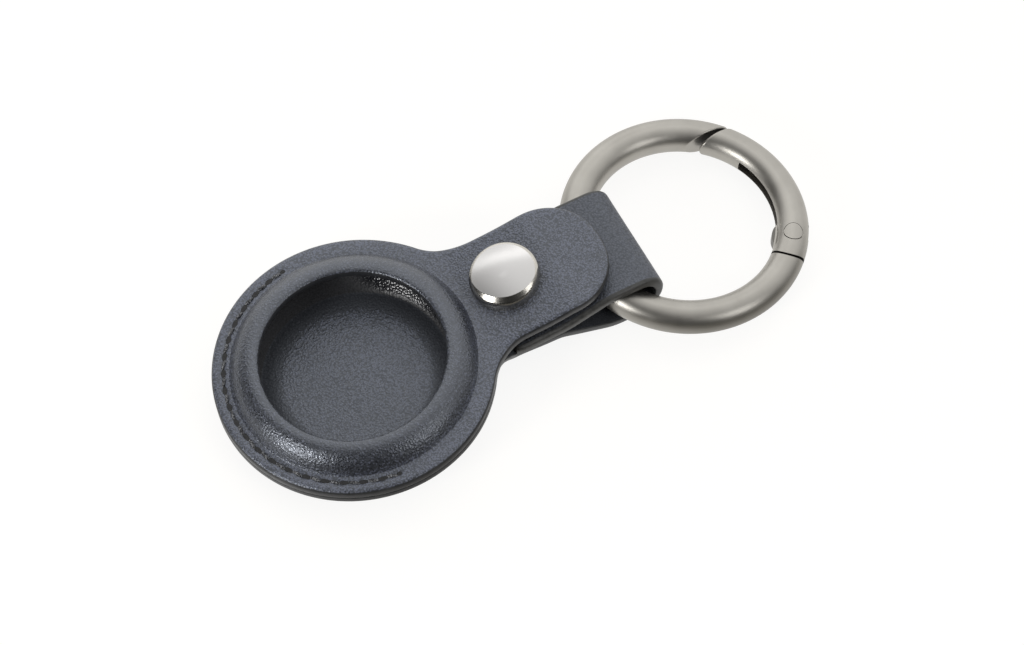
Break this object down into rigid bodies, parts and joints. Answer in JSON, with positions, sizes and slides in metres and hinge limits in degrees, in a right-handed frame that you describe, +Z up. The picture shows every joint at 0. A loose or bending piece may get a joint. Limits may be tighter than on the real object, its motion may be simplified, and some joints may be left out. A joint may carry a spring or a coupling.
{
  "type": "tracker tag holder",
  "caption": "Leather key holder for a round tracker tag: moulded pouch with a round window, press-stud flap, strap loop and a round ring with a sprung gate.",
  "frame": {"origin": "middle of the holder's base, on the table that it lies on", "axes": "+X from the pouch to the ring, +Y across the strap, +Z up out of the window"},
  "size_m": [0.0948, 0.042, 0.0124],
  "materials": {
    "leather_skin": "fine pebble grain, satin, edges painted darker",
    "leather_lining": "matte, close grain",
    "thread": "waxed twisted thread",
    "snap_metal": "satin nickel with a polished edge",
    "ring_metal": "satin gunmetal plating",
    "spring_steel": "drawn wire, bright"
  },
  "bodies": {
    "pouch": {"rear_panel": "leather_skin", "rear_lining": "leather_lining", "strap_loop": "leather_skin", "strap_lining": "leather_lining", "front_cover": "leather_skin", "front_lining": "leather_lining", "needle_thread": "thread", "bobbin_thread": "thread", "snap_stud": "snap_metal", "snap_post": "snap_metal"},
    "flap": {"front_flap": "leather_skin", "flap_lining": "leather_lining", "snap_cap": "snap_metal", "snap_socket": "snap_metal", "socket_spring": "spring_steel"},
    "ring": {"ring_body": "ring_metal", "gate_pin": "ring_metal"},
    "gate": {"ring_gate": "ring_metal", "gate_spring": "spring_steel"}
  },
  "joints": [
    {"name": "flap_lift", "type": "hinge", "parent": "pouch", "child": "flap", "pos_m": [-0.00795, 0, 0.00822], "axis": [0, -1, 0], "range_deg": [0, 80], "deforming": ["socket_spring"]},
    {"name": "ring_swing", "type": "hinge", "parent": "pouch", "child": "ring", "pos_m": [0.0124, 0, 0.0045], "axis": [0, -1, 0], "range_deg": [-5, 100], "deforming": ["strap_loop", "strap_lining"]},
    {"name": "gate_open", "type": "hinge", "parent": "ring", "child": "gate", "pos_m": [0.04191, -0.00947, 0.00269], "axis": [0.0614, 0, 0.9981], "range_deg": [0, 24], "stiffness_Nm_per_rad": 0.02, "springref_deg": -17.19, "deforming": ["gate_spring"]}
  ]
}
